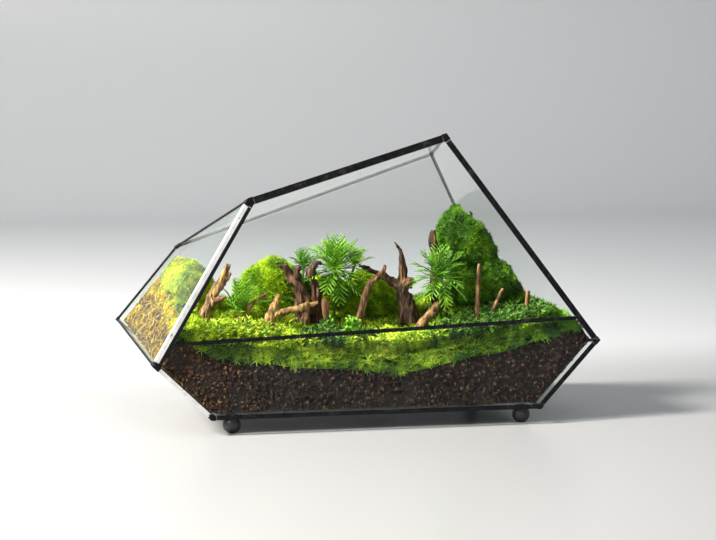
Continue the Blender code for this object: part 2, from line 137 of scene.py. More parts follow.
# ---- Glass -------------------------------------------------------------------------------------
# Eight flat panes of clear sheet glass, cut to shape and held at their edges by the metal. The
# upper half of the front has no pane. They are clean, with a very thin bloom of dust and splashes.

STEEPNESS = 5                           # the power by which glass mirrors more at a low angle
MIRRORED_FACING, MIRRORED_EDGE = 0.007, 0.8
MOST_DUST = 0.006
clear = bpy.data.materials.new("clear_sheet_glass")
clear.use_nodes = True
tree = clear.node_tree
tree.nodes.remove(tree.nodes["Principled BSDF"])
facing = tree.nodes.new("ShaderNodeLayerWeight")
facing.inputs["Blend"].default_value = 0.5
steep = tree.nodes.new("ShaderNodeMath")
steep.operation = "POWER"
steep.inputs[1].default_value = STEEPNESS
gloss_share = tree.nodes.new("ShaderNodeMapRange")
gloss_share.inputs["To Min"].default_value = MIRRORED_FACING
gloss_share.inputs["To Max"].default_value = MIRRORED_EDGE
see_through = tree.nodes.new("ShaderNodeBsdfTransparent")
see_through.inputs["Color"].default_value = (0.965, 0.98, 0.972, 1)
mirror = tree.nodes.new("ShaderNodeBsdfGlossy")
mirror.inputs["Roughness"].default_value = 0.02
pane_mix = tree.nodes.new("ShaderNodeMixShader")
dust = tree.nodes.new("ShaderNodeBsdfDiffuse")
dust.inputs["Color"].default_value = (0.8, 0.8, 0.76, 1)
where = tree.nodes.new("ShaderNodeTexCoord")
splashes = tree.nodes.new("ShaderNodeTexNoise")
splashes.inputs["Scale"].default_value = 55
splashes.inputs["Detail"].default_value = 5
dust_share = tree.nodes.new("ShaderNodeMapRange")
dust_share.inputs["From Min"].default_value = 0.42
dust_share.inputs["From Max"].default_value = 0.75
dust_share.inputs["To Max"].default_value = MOST_DUST
dusty = tree.nodes.new("ShaderNodeMixShader")
tree.links.new(facing.outputs["Facing"], steep.inputs[0])
tree.links.new(steep.outputs[0], gloss_share.inputs["Value"])
tree.links.new(gloss_share.outputs["Result"], pane_mix.inputs["Fac"])
tree.links.new(see_through.outputs[0], pane_mix.inputs[1])
tree.links.new(mirror.outputs[0], pane_mix.inputs[2])
tree.links.new(where.outputs["Object"], splashes.inputs["Vector"])
tree.links.new(splashes.outputs["Fac"], dust_share.inputs["Value"])
tree.links.new(dust_share.outputs["Result"], dusty.inputs["Fac"])
tree.links.new(pane_mix.outputs[0], dusty.inputs[1])
tree.links.new(dust.outputs[0], dusty.inputs[2])
tree.links.new(dusty.outputs[0], tree.nodes["Material Output"].inputs["Surface"])

PANES = [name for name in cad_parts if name.startswith("glass_")]
MIDDLE = (cad_low + cad_high) / 2


def put_on(node, material):
    """The node keeps its shape and takes a better finish."""
    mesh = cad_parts[node].data
    mesh.materials.clear()
    mesh.materials.append(material)


def inner_face(pane):
    """A pane's outward direction, and how far out its inner face lies in that direction."""
    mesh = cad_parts[pane].data
    spread = {}
    for polygon in mesh.polygons:
        key = tuple(round(c, 2) for c in polygon.normal)
        spread[key] = spread.get(key, 0) + polygon.area
    widest = max(mesh.polygons, key=lambda p: spread[tuple(round(c, 2) for c in p.normal)])
    outward = widest.normal.copy()
    if outward.dot(widest.center - MIDDLE) < 0:
        outward.negate()
    return outward, min(outward.dot(v.co) for v in mesh.vertices)


for pane in PANES:
    put_on(pane, clear)
WALLS = [inner_face(pane) for pane in PANES]


def inside(point, gap):
    """Whether a point lies in the case, at least this far from every pane."""
    return all(outward.dot(point) < reach - gap for outward, reach in WALLS)


# ---- Metal case --------------------------------------------------------------------------------
# Thin black strips, folded along every edge of the glass and soldered at the corners, with a
# channel over the top of the lower front pane. The patina is satin black with fine scratches. Along
# the two left-hand edges at the front a band of bright metal is painted on, a painted highlight
# for the window's glint there.

NOISE_LOW, NOISE_HIGH = 0.3, 0.7   # the noise seldom leaves this range
RELIEF = 0.0006                    # how far the finest relief stands up, in metres


def surface(name, stops, grain, stretch=(1, 1, 1), shade=0.0, rough=(0.6, 0.9), bump=0.4,
            fine=900, metallic=0.0, drift=None):
    """A finish whose colour runs through the stops by patches of noise and by each copy's shade.
    Drift multiplies it by a tint along one axis, from a start to an end."""
    material = bpy.data.materials.new(name)
    material.use_nodes = True
    nodes, link = material.node_tree.nodes, material.node_tree.links.new
    shader = nodes["Principled BSDF"]
    shader.inputs["Metallic"].default_value = metallic
    where = nodes.new("ShaderNodeTexCoord")
    laid = nodes.new("ShaderNodeMapping")
    laid.inputs["Scale"].default_value = stretch
    link(where.outputs["Object"], laid.inputs["Vector"])
    patches = nodes.new("ShaderNodeTexNoise")
    patches.inputs["Scale"].default_value = grain
    patches.inputs["Detail"].default_value = 6
    link(laid.outputs["Vector"], patches.inputs["Vector"])
    spread = nodes.new("ShaderNodeMapRange")
    spread.inputs["From Min"].default_value = NOISE_LOW
    spread.inputs["From Max"].default_value = NOISE_HIGH
    spread.inputs["To Max"].default_value = 1 - shade
    link(patches.outputs["Fac"], spread.inputs["Value"])
    ramp = nodes.new("ShaderNodeValToRGB")
    for index, (place, colour) in enumerate(stops):
        stop = ramp.color_ramp.elements[index] if index < 2 else ramp.color_ramp.elements.new(place)
        stop.position, stop.color = place, (*colour, 1)
    if shade:
        own = nodes.new("ShaderNodeAttribute")
        own.attribute_name = "shade"
        total = nodes.new("ShaderNodeMath")
        total.operation = "MULTIPLY_ADD"
        total.inputs[1].default_value = shade
        link(own.outputs["Fac"], total.inputs[0])
        link(spread.outputs["Result"], total.inputs[2])
        link(total.outputs[0], ramp.inputs["Fac"])
    else:
        link(spread.outputs["Result"], ramp.inputs["Fac"])
    colour = ramp.outputs["Color"]
    if drift:
        axis, start, end, tint = drift
        split = nodes.new("ShaderNodeSeparateXYZ")
        along = nodes.new("ShaderNodeMapRange")
        along.inputs["From Min"].default_value = start
        along.inputs["From Max"].default_value = end
        tinted = nodes.new("ShaderNodeMix")
        tinted.data_type, tinted.blend_type = "RGBA", "MULTIPLY"
        tinted.inputs["B"].default_value = (*tint, 1)
        link(where.outputs["Object"], split.inputs["Vector"])
        link(split.outputs[axis], along.inputs["Value"])
        link(along.outputs["Result"], tinted.inputs["Factor"])
        link(colour, tinted.inputs["A"])
        colour = tinted.outputs["Result"]
    link(colour, shader.inputs["Base Color"])
    specks = nodes.new("ShaderNodeTexNoise")
    specks.inputs["Scale"].default_value = fine
    specks.inputs["Detail"].default_value = 4
    link(laid.outputs["Vector"], specks.inputs["Vector"])
    worn = nodes.new("ShaderNodeMapRange")
    worn.inputs["From Min"].default_value = NOISE_LOW
    worn.inputs["From Max"].default_value = NOISE_HIGH
    worn.inputs["To Min"].default_value, worn.inputs["To Max"].default_value = rough
    link(specks.outputs["Fac"], worn.inputs["Value"])
    link(worn.outputs["Result"], shader.inputs["Roughness"])
    relief = nodes.new("ShaderNodeBump")
    relief.inputs["Strength"].default_value = bump
    relief.inputs["Distance"].default_value = RELIEF
    link(specks.outputs["Fac"], relief.inputs["Height"])
    link(relief.outputs["Normal"], shader.inputs["Normal"])
    return material


patina = surface("black_patina", ((0.0, (0.006, 0.006, 0.007)), (0.7, (0.018, 0.018, 0.02)),
                                  (1.0, (0.06, 0.055, 0.05))),
                 grain=260, rough=(0.22, 0.42), bump=0.06, fine=1400, metallic=0.75)


GLINT_FADE = 0.0004   # over this distance bright metal turns to black


def painted_glint_edge(name, edge, across, width):
    """Painted highlight: bright metal in a band along an outer edge of the case, for the window's
    glint.
    Across is the direction away from that edge, and width is where the black begins."""
    # These bright colours are the painted highlight; the black beyond the band is the patina.
    metal = surface(name, ((0.0, (0.62, 0.61, 0.59)), (0.8, (0.86, 0.86, 0.85)),
                           (1.0, (0.40, 0.36, 0.32))),
                    grain=180, rough=(0.26, 0.42), bump=0.05, fine=1200, metallic=0.55)
    nodes, link = metal.node_tree.nodes, metal.node_tree.links.new
    black = nodes.new("ShaderNodeBsdfPrincipled")
    black.inputs["Base Color"].default_value = (0.015, 0.015, 0.017, 1)
    black.inputs["Metallic"].default_value = 0.75
    black.inputs["Roughness"].default_value = 0.32
    where = nodes.new("ShaderNodeTexCoord")
    from_edge = nodes.new("ShaderNodeVectorMath")
    from_edge.operation = "DOT_PRODUCT"
    from_edge.inputs[1].default_value = across
    link(where.outputs["Object"], from_edge.inputs[0])
    band = nodes.new("ShaderNodeMapRange")
    black_from = edge.dot(Vector(across)) + width
    band.inputs["From Min"].default_value = black_from
    band.inputs["From Max"].default_value = black_from - GLINT_FADE
    link(from_edge.outputs["Value"], band.inputs["Value"])
    which = nodes.new("ShaderNodeMixShader")
    link(band.outputs["Result"], which.inputs["Fac"])
    link(black.outputs["BSDF"], which.inputs[1])
    link(nodes["Principled BSDF"].outputs["BSDF"], which.inputs[2])
    link(which.outputs[0], nodes["Material Output"].inputs["Surface"])
    return metal


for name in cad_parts:
    if name.startswith(("strip_", "corner_", "crossbar_")):
        put_on(name, patina)
# Painted highlight on the two left-hand front strips, where the window glints on them.
put_on("strip_front_upper_left",
       painted_glint_edge("painted_glint_upper", at(-8.6, 2.61, 15.9), across=(0.853, 0, -0.522), width=0.0031))
put_on("strip_front_lower_left",
       painted_glint_edge("painted_glint_lower", at(-11.5, 0, 1.1), across=(0.688, 0, 0.725), width=0.0032))

# ---- Solder beads ------------------------------------------------------------------------------
# A small lump of solder at the outer point of each corner, fused to the folded metal under it. It
# is run by hand and blackened with the strips, so no two are alike.


def settle(bm, name, material, stands_for=(), smooth=True):
    """A finished piece: on the root body, with its finish, and with the nodes it stands for hidden.
    """
    mesh = bpy.data.meshes.new(name)
    bm.to_mesh(mesh)
    bm.free()
    mesh.materials.append(material)
    if smooth:
        mesh.shade_smooth()
    piece = bpy.data.objects.new(name, mesh)
    bpy.context.scene.collection.objects.link(piece)
    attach(piece, "root")
    if stands_for:
        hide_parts(*stands_for)


solder = surface("blackened_solder", ((0.0, (0.008, 0.008, 0.009)), (1.0, (0.05, 0.05, 0.052))),
                 grain=300, rough=(0.25, 0.5), bump=0.3, fine=1100, metallic=0.8)
BEAD_RADIUS, BEAD_DEPTH, BEAD_UNEVEN = 0.0012, 0.0024, 0.16
beads = bmesh.new()
for corner in [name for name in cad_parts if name.startswith("corner_")]:
    points = [v.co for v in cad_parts[corner].data.vertices]
    apex = max(points, key=lambda p: (p - MIDDLE).length)
    inward = (MIDDLE - apex).normalized()
    lump = bmesh.ops.create_icosphere(beads, subdivisions=3, radius=BEAD_RADIUS)["verts"]
    for v in lump:
        v.co *= 1 + BEAD_UNEVEN * noise.noise(v.co * 700 + apex * 50)
        v.co += apex + inward * BEAD_DEPTH
        v.co = Vector(max(low, min(high, c)) for c, low, high in zip(v.co, cad_low, cad_high))
settle(beads, "solder_beads", solder)

# ---- Ball feet ---------------------------------------------------------------------------------
# Four turned black balls, each on a short neck under the base. They keep their turned shape and
# have a softer, rubbed black finish.

rubber = surface("black_feet", ((0.0, (0.01, 0.01, 0.01)), (1.0, (0.03, 0.03, 0.03))),
                 grain=120, rough=(0.3, 0.5), bump=0.1, fine=800)
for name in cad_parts:
    if name.startswith("foot_"):
        put_on(name, rubber)

# ---- Soil --------------------------------------------------------------------------------------
# Dark crumbly soil fills the bottom and banks up to the back and the left. It is packed against
# the glass, where its crumbs and bits of bark show. On the left it is painted lighter and
# yellow-brown, painted light for the window shining in there.

chance = random.Random(7)
WELD = 2e-5   # corners of the node's faces nearer than this are the same point


def carved(node, levels):
    """The node's shape, welded and rounded, ready to be worked on."""
    bm = bmesh.new()
    bm.from_mesh(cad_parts[node].data)
    bmesh.ops.remove_doubles(bm, verts=bm.verts, dist=WELD)
    if levels:
        rough_cut = bpy.data.meshes.new("rough_cut")
        bm.to_mesh(rough_cut)
        blank = bpy.data.objects.new("blank", rough_cut)
        bpy.context.scene.collection.objects.link(blank)
        surf = blank.modifiers.new("round", "SUBSURF")
        surf.levels = surf.render_levels = levels
        bpy.context.view_layer.update()
        smooth_cut = bpy.data.meshes.new_from_object(
            blank.evaluated_get(bpy.context.evaluated_depsgraph_get()))
        bm.clear()
        bm.from_mesh(smooth_cut)
        bpy.data.objects.remove(blank)
        bpy.data.meshes.remove(rough_cut)
        bpy.data.meshes.remove(smooth_cut)
    bm.verts.layers.float.new("shade")
    bm.verts.layers.float.new("tip")
    bm.normal_update()
    return bm


def sow(bm, count, liking):
    """Random places on a surface with their normals. They lie thickest where liking(place, normal)
    is high."""
    faces = list(bm.faces)
    weights = [f.calc_area() * liking(f.calc_center_median(), f.normal) for f in faces]
    places = []
    for face in chance.choices(faces, weights, k=count):
        i = chance.randrange(len(face.verts))
        a, b, c = face.calc_center_median(), face.verts[i].co, face.verts[i - 1].co
        u, v = sorted((chance.random(), chance.random()))
        places.append((a * u + b * (v - u) + c * (1 - v), face.normal.copy()))
    return places


def scatter(bm, kinds, places):
    """A copy of one of the kinds at each place, with its own shade, and lighter at its tips."""
    base = [[v.co.copy() for v in kind.vertices] for kind in kinds]
    tips = [[tip.value for tip in kind.attributes["tip"].data] for kind in kinds]
    for matrix, shade in places:
        pick = chance.randrange(len(kinds))
        copy = kinds[pick]
        copy.vertices.foreach_set("co", [c for p in base[pick] for c in matrix @ p])
        shades = [shade * 0.7 + 0.3 * t for t in tips[pick]]
        copy.attributes["shade"].data.foreach_set("value", shades)
        bm.from_mesh(copy)
    for kind, points in zip(kinds, base):
        kind.vertices.foreach_set("co", [c for p in points for c in p])


def as_kind(bm, name):
    """A small shape that will be repeated, with how near its tip each point lies."""
    kind = bpy.data.meshes.new(name)
    bm.to_mesh(kind)
    bm.free()
    kind.attributes.new("shade", "FLOAT", "POINT")
    tip = kind.attributes.new("tip", "FLOAT", "POINT")
    far = max(v.co.length for v in kind.vertices)
    tip.data.foreach_set("value", [v.co.length / far for v in kind.vertices])
    return kind


def turned(point, way, size, spin=None):
    """A place for a copy: its z axis along way, turned by a random angle, and its size per axis."""
    spin = chance.uniform(0, math.tau) if spin is None else spin
    return (Matrix.Translation(point) @ way.to_track_quat("Z", "Y").to_matrix().to_4x4()
            @ Matrix.Rotation(spin, 4, "Z") @ Matrix.Diagonal((*size, 1)))


crumb_kinds = []
for _ in range(3):
    crumb = bmesh.new()
    bmesh.ops.create_icosphere(crumb, subdivisions=1, radius=1)
    for v in crumb.verts:
        v.co *= chance.uniform(0.72, 1.1)
    crumb_kinds.append(as_kind(crumb, "crumb"))

# Painted light: the drift along X brightens the left end to yellow-brown, where the window lights
# it.
earth = surface("soil", ((0.0, (0.004, 0.002, 0.001)), (0.35, (0.016, 0.007, 0.004)),
                         (0.7, (0.060, 0.026, 0.013)), (1.0, (0.26, 0.15, 0.07))),
                grain=300, shade=0.75, rough=(0.8, 1.0), bump=0.9, fine=1500,
                drift=("X", -0.08, -0.15, (3.0, 2.4, 0.8)))
CRUMBS, SMALLEST_CRUMB, LARGEST_CRUMB = 8600, 0.0006, 0.0018
PROUD = 0.00025   # how far a crumb stands out of the surface
SHRINK = 0.0012   # how far the bare soil lies behind its crumbs, front and back


def crumb_liking(place, normal):
    """None on the top, which the moss hides, and most at the front, where the glass shows them."""
    if normal.z > 0.6:
        return 0.0
    if normal.y < -0.8:
        return 2.4
    return 1.4 if normal.x > 0.4 else 1.0


ground = carved("soil", 0)
bmesh.ops.subdivide_edges(ground, edges=[e for e in ground.edges if e.calc_length() > 0.008],
                          cuts=3, use_grid_fill=True)
ground.normal_update()
places = []
for p, n in sow(ground, CRUMBS, crumb_liking):
    size = chance.uniform(SMALLEST_CRUMB, LARGEST_CRUMB)
    flat = size * 0.6
    shape = (size, size * chance.uniform(0.5, 0.9), flat)
    places.append((turned(p - n * (flat - PROUD), n, shape), chance.random() ** 1.5))
for v in ground.verts:
    v.co.y -= v.normal.y * SHRINK
scatter(ground, crumb_kinds, places)
settle(ground, "soil_bank", earth, ["soil"], smooth=False)

# ---- Moss carpet -------------------------------------------------------------------------------
# A carpet of living moss laid over the soil, thickest at the front, where its cut edge shows
# through the glass. Its colour is painted bright yellow-green on the window's side and darker to
# the right, painted light and shade from the window. The bare carpet under the tufts keeps the
# darker colours, painted shade in the gaps between them.

TUFT_LEAVES = 8
tuft_kinds = []
for _ in range(4):
    tuft = bmesh.new()
    for k in range(TUFT_LEAVES):
        lean = math.radians(chance.uniform(8, 68))
        turn = math.tau * (k + chance.random()) / TUFT_LEAVES
        long = chance.uniform(0.65, 1.0)
        bmesh.ops.create_cone(
            tuft, cap_ends=True, segments=3, radius1=0.11, radius2=0.0, depth=long,
            matrix=Matrix.Rotation(turn, 4, "Z") @ Matrix.Rotation(lean, 4, "X")
            @ Matrix.Translation((0, 0, long / 2)))
    tuft_kinds.append(as_kind(tuft, "tuft"))


def moss_places(bm, count, liking, low, high):
    """Where each tuft grows, from low to high in size: outwards in the open, upright beside the
    glass, and flat where it is tight. The upright and flat ones get darker shades, painted shade
    for the tight places against the glass."""
    places = []
    for p, n in sow(bm, count, liking):
        size = chance.uniform(low, high)
        way = (n + Vector((0, 0, 0.7))).normalized()
        upright, sunk = Vector((n.x * 0.1, n.y * 0.1, 1)).normalized(), p - n * size * 0.45
        # Painted shade: the upright and flat tufts below take darker shades than the open ones.
        if inside(p + way * size, size * 0.75):
            places.append((turned(p - n * 0.0003, way, (size, size, size)), chance.random()))
        elif inside(sunk + upright * size, size * 0.42):
            places.append((turned(sunk, upright, (size, size, size)), chance.random() ** 1.3))
        else:
            thickness = 0.2 if inside(p, 0.0009) else 0.05
            places.append((turned(p, n, (size, size, size * thickness)),
                           0.55 * chance.random() ** 1.5))
    return places


# Painted light and shade: the drift along X darkens the carpet away from the window, to the right.
moss_floor = surface("moss_floor", ((0.0, (0.006, 0.020, 0.001)), (0.3, (0.06, 0.15, 0.003)),
                                    (0.55, (0.38, 0.58, 0.008)), (0.85, (0.92, 0.97, 0.05))),
                     grain=58, shade=0.55, rough=(0.6, 0.9), bump=0.5, fine=1200,
                     drift=("X", 0.03, 0.14, (0.35, 0.60, 0.5)))
carpet = carved("moss_carpet", 0)
bmesh.ops.subdivide_edges(carpet, edges=[e for e in carpet.edges if e.calc_length() > 0.006],
                          cuts=3, use_grid_fill=True)
carpet.normal_update()
for v in carpet.verts:
    if v.normal.z > 0.7:
        lump = (0.35 - noise.voronoi(v.co * 75)[0][0]) * 0.008 + noise.noise(v.co * 200) * 0.0012
        if inside(v.co + Vector((0, 0, lump)), 0.0008):
            v.co.z += lump
carpet.normal_update()
tufts = moss_places(
    carpet, count=5600, low=0.0034, high=0.0068,
    liking=lambda p, n: 0.0 if n.z < -0.3 else 3.0 if p.y < -0.045 else 1.0)
for v in carpet.verts:
    if abs(v.normal.z) < 0.6:
        v.co -= v.normal * (0.0028 + 0.002 * noise.noise(v.co * 130))
# The bare carpet keeps shade 0 and so the darker colours: painted shade in the gaps between tufts.
scatter(carpet, tuft_kinds, tufts)
settle(carpet, "moss_floor", moss_floor, ["moss_carpet"], smooth=False)

# ---- Moss cushions -----------------------------------------------------------------------------
# Three cushions of mood moss sit on the carpet: a pale one in the left corner, a lime bank behind
# the driftwood and a tall dark hill on the right. Each is a knobbly dome with a close, fine pile.
# The mound's pale yellow and the hill's dark green are partly their own colour and partly painted
# light and shade, lighter on the window's side and darker away from it. The bare dome under the
# pile keeps the darker colours, painted shade between the tufts.


def cushion(node, name, material, count, lump, low, high):
    """A dome with knobs as high as lump, under a pile of tufts from low to high in size."""
    bm = carved(node, 2)
    for v in bm.verts:
        cell = noise.voronoi(v.co * 105)[0][0]
        rise = (0.40 - cell) * lump * 1.6 + noise.noise(v.co * 40) * lump * 0.7
        moved = v.co + v.normal * rise
        if inside(moved, 0.001):
            v.co = moved
    bm.normal_update()
    pile = moss_places(bm, count, lambda p, n: 0.15 if n.z < -0.4 else 1.0, low, high)
    scatter(bm, tuft_kinds, pile)
    settle(bm, name, material, [node], smooth=False)


# Partly painted light and shade: the left mound's palette is the palest and the hill's the darkest.
left_moss = surface("moss_left", ((0.0, (0.05, 0.11, 0.002)), (0.4, (0.27, 0.42, 0.004)),
                                  (0.7, (0.56, 0.68, 0.010)), (1.0, (0.90, 0.92, 0.06))),
                    grain=60, shade=0.5, rough=(0.6, 0.9), bump=0.5, fine=1200)
bank_moss = surface("moss_bank", ((0.0, (0.010, 0.04, 0.002)), (0.35, (0.13, 0.30, 0.003)),
                                  (0.65, (0.50, 0.70, 0.008)), (0.95, (0.86, 0.95, 0.05))),
                    grain=60, shade=0.5, rough=(0.6, 0.9), bump=0.5, fine=1200)
hill_moss = surface("moss_hill", ((0.0, (0.005, 0.025, 0.001)), (0.4, (0.04, 0.14, 0.003)),
                                  (0.7, (0.19, 0.43, 0.006)), (1.0, (0.52, 0.74, 0.03))),
                    grain=60, shade=0.5, rough=(0.6, 0.9), bump=0.5, fine=1200)
cushion("moss_mound_left", "moss_mound", left_moss, 2600, lump=0.0026, low=0.0032, high=0.0058)
cushion("moss_bank_middle", "moss_bank", bank_moss, 3600, lump=0.0030, low=0.0030, high=0.0052)
cushion("moss_hill_right", "moss_hill", hill_moss, 4200, lump=0.0030, low=0.0026, high=0.0046)

# ---- Dry fibre on the left ---------------------------------------------------------------------
# Coir and dry moss are packed against the two left panes, under the mound. The strands lie flat on
# the glass in every direction.

STRAND_GIRTH, SHORTEST_STRAND, LONGEST_STRAND = 0.009, 0.004, 0.010
strand_kinds = []
for _ in range(2):
    strand = bmesh.new()
    bmesh.ops.create_cone(strand, cap_ends=True, segments=4, radius1=0.03, radius2=0.012, depth=1)
    sides = [e for e in strand.edges if e.calc_length() > 0.5]
    bmesh.ops.subdivide_edges(strand, edges=sides, cuts=3)
    for v in strand.verts:
        v.co.x += 0.12 * math.sin(3.0 * v.co.z + 1.0)
    strand_kinds.append(as_kind(strand, "strand"))
coir = surface("dry_fibre", ((0.0, (0.07, 0.035, 0.006)), (0.4, (0.34, 0.20, 0.012)),
                             (0.7, (0.66, 0.50, 0.03)), (1.0, (0.92, 0.85, 0.20))),
               grain=140, shade=0.6, rough=(0.6, 0.85), bump=0.3, fine=1600)
fibre = bmesh.new()
for node, count in (("soil", 1700), ("moss_carpet", 300), ("moss_mound_left", 60)):
    side = carved(node, 0)
    for p, n in sow(side, count, lambda p, n: 1.0 if n.x < -0.55 and n.z < 0.75 else 0.0):
        lie = n.cross(Vector([chance.uniform(-1, 1) for _ in range(3)]))
        long = chance.uniform(SHORTEST_STRAND, LONGEST_STRAND)
        middle = p + n * 0.00015
        if all(inside(middle + lie.normalized() * long * end, 0.0) for end in (-0.5, 0.5)):
            place = turned(middle, lie, (STRAND_GIRTH, STRAND_GIRTH, long))
            scatter(fibre, strand_kinds, [(place, chance.random())])
    side.free()
settle(fibre, "dry_fibre", coir)

# ---- Driftwood ---------------------------------------------------------------------------------
# Weathered pieces of root and driftwood pushed into the moss. They are ridged along the grain,
# pale and warm where the bark has gone, and dark in the hollows.


def bark(name, hollow, wood, worn):
    """Ridged wood: dark in the hollows, and lightest where it is worn."""
    return surface(name, ((0.0, hollow), (0.5, wood), (1.0, worn)), grain=420, stretch=(1, 1, 0.16),
                   rough=(0.55, 0.85), bump=1.0, fine=900)


def weathered(node, name, material, depth, thinned=0.0004):
    """The node's shape, thinned a little and ridged along its height to this depth."""
    bm = carved(node, 3)
    for v in bm.verts:
        along = Vector((v.co.x * 420, v.co.y * 420, v.co.z * 70))
        ridge = abs(noise.noise(along)) * 2 - 0.55 + noise.noise(v.co * 160) * 0.9
        v.co += v.normal * (ridge * depth - thinned)
    settle(bm, name, material, [node])


tan = bark("tan_wood", (0.03, 0.012, 0.004), (0.17, 0.085, 0.026), (0.52, 0.32, 0.11))
yellow = bark("yellow_wood", (0.05, 0.022, 0.006), (0.30, 0.16, 0.04), (0.66, 0.45, 0.15))
umber = bark("umber_wood", (0.010, 0.004, 0.002), (0.060, 0.024, 0.010), (0.26, 0.13, 0.045))
russet = bark("russet_wood", (0.02, 0.007, 0.003), (0.13, 0.052, 0.016), (0.44, 0.23, 0.07))
weathered("driftwood_fork_left", "driftwood_fork", tan, 0.0010)
weathered("driftwood_y", "driftwood_y_branch", yellow, 0.0010)
weathered("stump_centre", "split_stump", umber, 0.0016, thinned=0.0018)
weathered("stick_curved", "curved_stick", russet, 0.0007)
weathered("branch_arched", "arched_branch", umber, 0.0012, thinned=0.0009)
weathered("wood_stub_hill", "hill_stub", umber, 0.0010)
weathered("stick_right_tall", "tall_stick", tan, 0.0004)
weathered("stick_right_slanted", "slanted_stick", tan, 0.0003)
weathered("stick_right_short", "short_stick", russet, 0.0004)


def grow(bm, route):
    """A limb lofted through its points, each with the radius there in millimetres."""
    points = [at(*point) for point, _ in route]
    rings = []
    for i, point in enumerate(points):
        way = points[min(i + 1, len(points) - 1)] - points[max(i - 1, 0)]
        rings.append(turned(point, way, (route[i][1] * 0.001, route[i][1] * 0.001, 1), 0))
    ring = bmesh.ops.create_circle(bm, cap_ends=True, segments=9, radius=1)["verts"]
    bmesh.ops.transform(bm, matrix=rings[0], verts=ring)
    for before, here in zip(rings, rings[1:]):
        rim = [e for e in bm.edges if e.verts[0] in ring and e.verts[1] in ring]
        grown = bmesh.ops.extrude_edge_only(bm, edges=rim)["geom"]
        ring = [g for g in grown if isinstance(g, bmesh.types.BMVert)]
        bmesh.ops.transform(bm, matrix=here @ before.inverted(), verts=ring)
    bmesh.ops.contextual_create(
        bm, geom=[e for e in bm.edges if e.verts[0] in ring and e.verts[1] in ring])


def small_wood(name, material, routes, depth=0.0005):
    """Limbs grown along their routes, with a surface that is uneven to this depth."""
    bm = bmesh.new()
    for route in routes:
        grow(bm, route)
    bmesh.ops.recalc_face_normals(bm, faces=bm.faces)
    bmesh.ops.subdivide_edges(bm, edges=bm.edges, cuts=3, use_grid_fill=True, smooth=0.5)
    bm.normal_update()
    for v in bm.verts:
        along = Vector((v.co.x * 420, v.co.y * 420, v.co.z * 90))
        v.co += v.normal * (noise.noise(along) + noise.noise(v.co * 260)) * depth
    settle(bm, name, material)


small_wood("stump_splinters", umber, (
    [((-5.1, 5.6, 9.7), 3.6), ((-5.4, 5.5, 10.4), 3.0),
     ((-5.9, 5.4, 10.9), 1.9), ((-6.2, 5.3, 10.9), 0.8)],
    [((-4.9, 5.5, 9.9), 3.2), ((-4.9, 5.4, 10.6), 2.4), ((-4.6, 5.3, 10.8), 1.5)],
    [((-3.9, 5.4, 10.0), 3.4), ((-3.7, 5.3, 10.8), 2.8),
     ((-3.4, 5.2, 11.1), 1.6), ((-3.1, 5.2, 11.0), 0.8)],
    [((-3.9, 5.0, 7.4), 2.6), ((-4.3, 4.7, 8.8), 2.0), ((-5.3, 4.6, 10.0), 1.0)]), 0.0008)
small_wood("stump_roots", russet, (
    [((-3.0, 4.6, 8.6), 1.4), ((-2.9, 4.5, 7.2), 2.2),
     ((-2.5, 4.2, 5.7), 3.0), ((-2.3, 4.0, 5.0), 3.2)],
    [((-4.3, 4.8, 7.6), 1.6), ((-4.4, 4.6, 6.4), 2.2), ((-4.5, 4.3, 5.2), 2.8)]), 0.0006)
small_wood("knobbly_stub", russet, (
    [((-9.3, 3.3, 5.4), 3.0), ((-9.2, 3.4, 6.6), 2.8),
     ((-9.1, 3.5, 7.3), 3.3), ((-9.0, 3.6, 7.6), 1.6)],
    [((-9.1, 3.5, 6.9), 1.8), ((-8.6, 3.5, 7.5), 1.2)]))
small_wood("pale_twigs", yellow, (
    [((-8.6, 5.1, 7.7), 1.1), ((-7.8, 5.3, 8.5), 1.0), ((-7.0, 5.6, 8.9), 0.6)],
    [((-10.9, 4.2, 8.9), 1.6), ((-10.4, 4.1, 10.0), 1.2), ((-9.9, 4.0, 11.2), 0.6)]), 0.0002)
small_wood("leaning_log", tan, (
    [((3.5, 3.6, 6.4), 2.6), ((4.3, 3.9, 7.4), 2.4), ((5.2, 4.2, 8.2), 1.6)],
    [((4.2, 3.9, 7.3), 1.4), ((4.9, 3.8, 7.5), 1.0)]))

# ---- Ferns -------------------------------------------------------------------------------------
# Young ferns on short stalks, rooted in the moss. Each frond is a thin arching rib with a row of
# narrow pointed leaflets on either side, shorter towards the tip.

leaflet = bmesh.new()
bmesh.ops.create_uvsphere(leaflet, u_segments=6, v_segments=4, radius=0.5,
                          matrix=Matrix.Rotation(math.pi / 2, 4, "Y"))
bmesh.ops.translate(leaflet, verts=leaflet.verts, vec=(0.5, 0, 0))
leaflet_kind = as_kind(leaflet, "leaflet")
rib = bmesh.new()
bmesh.ops.create_cone(rib, cap_ends=True, segments=5, radius1=1, radius2=0.85, depth=1,
                      matrix=Matrix.Translation((0, 0, 0.5)))
rib_kind = as_kind(rib, "rib")
UP = Vector((0, 0, 1))
RIB_RADIUS, STALK_RADIUS = 0.00028, 0.0011
LEAFLET_WIDTH, LEAFLET_THICKNESS = 0.15, 0.05   # shares of its length
GOLDEN_ANGLE = 2.39996
STEEPEST = 85                                   # degrees above level, for the topmost frond
green = surface("fern_green", ((0.0, (0.012, 0.055, 0.003)), (0.35, (0.06, 0.20, 0.006)),
                               (0.7, (0.20, 0.46, 0.014)), (1.0, (0.52, 0.74, 0.06))),
                grain=120, shade=0.75, rough=(0.35, 0.6), bump=0.15, fine=900)


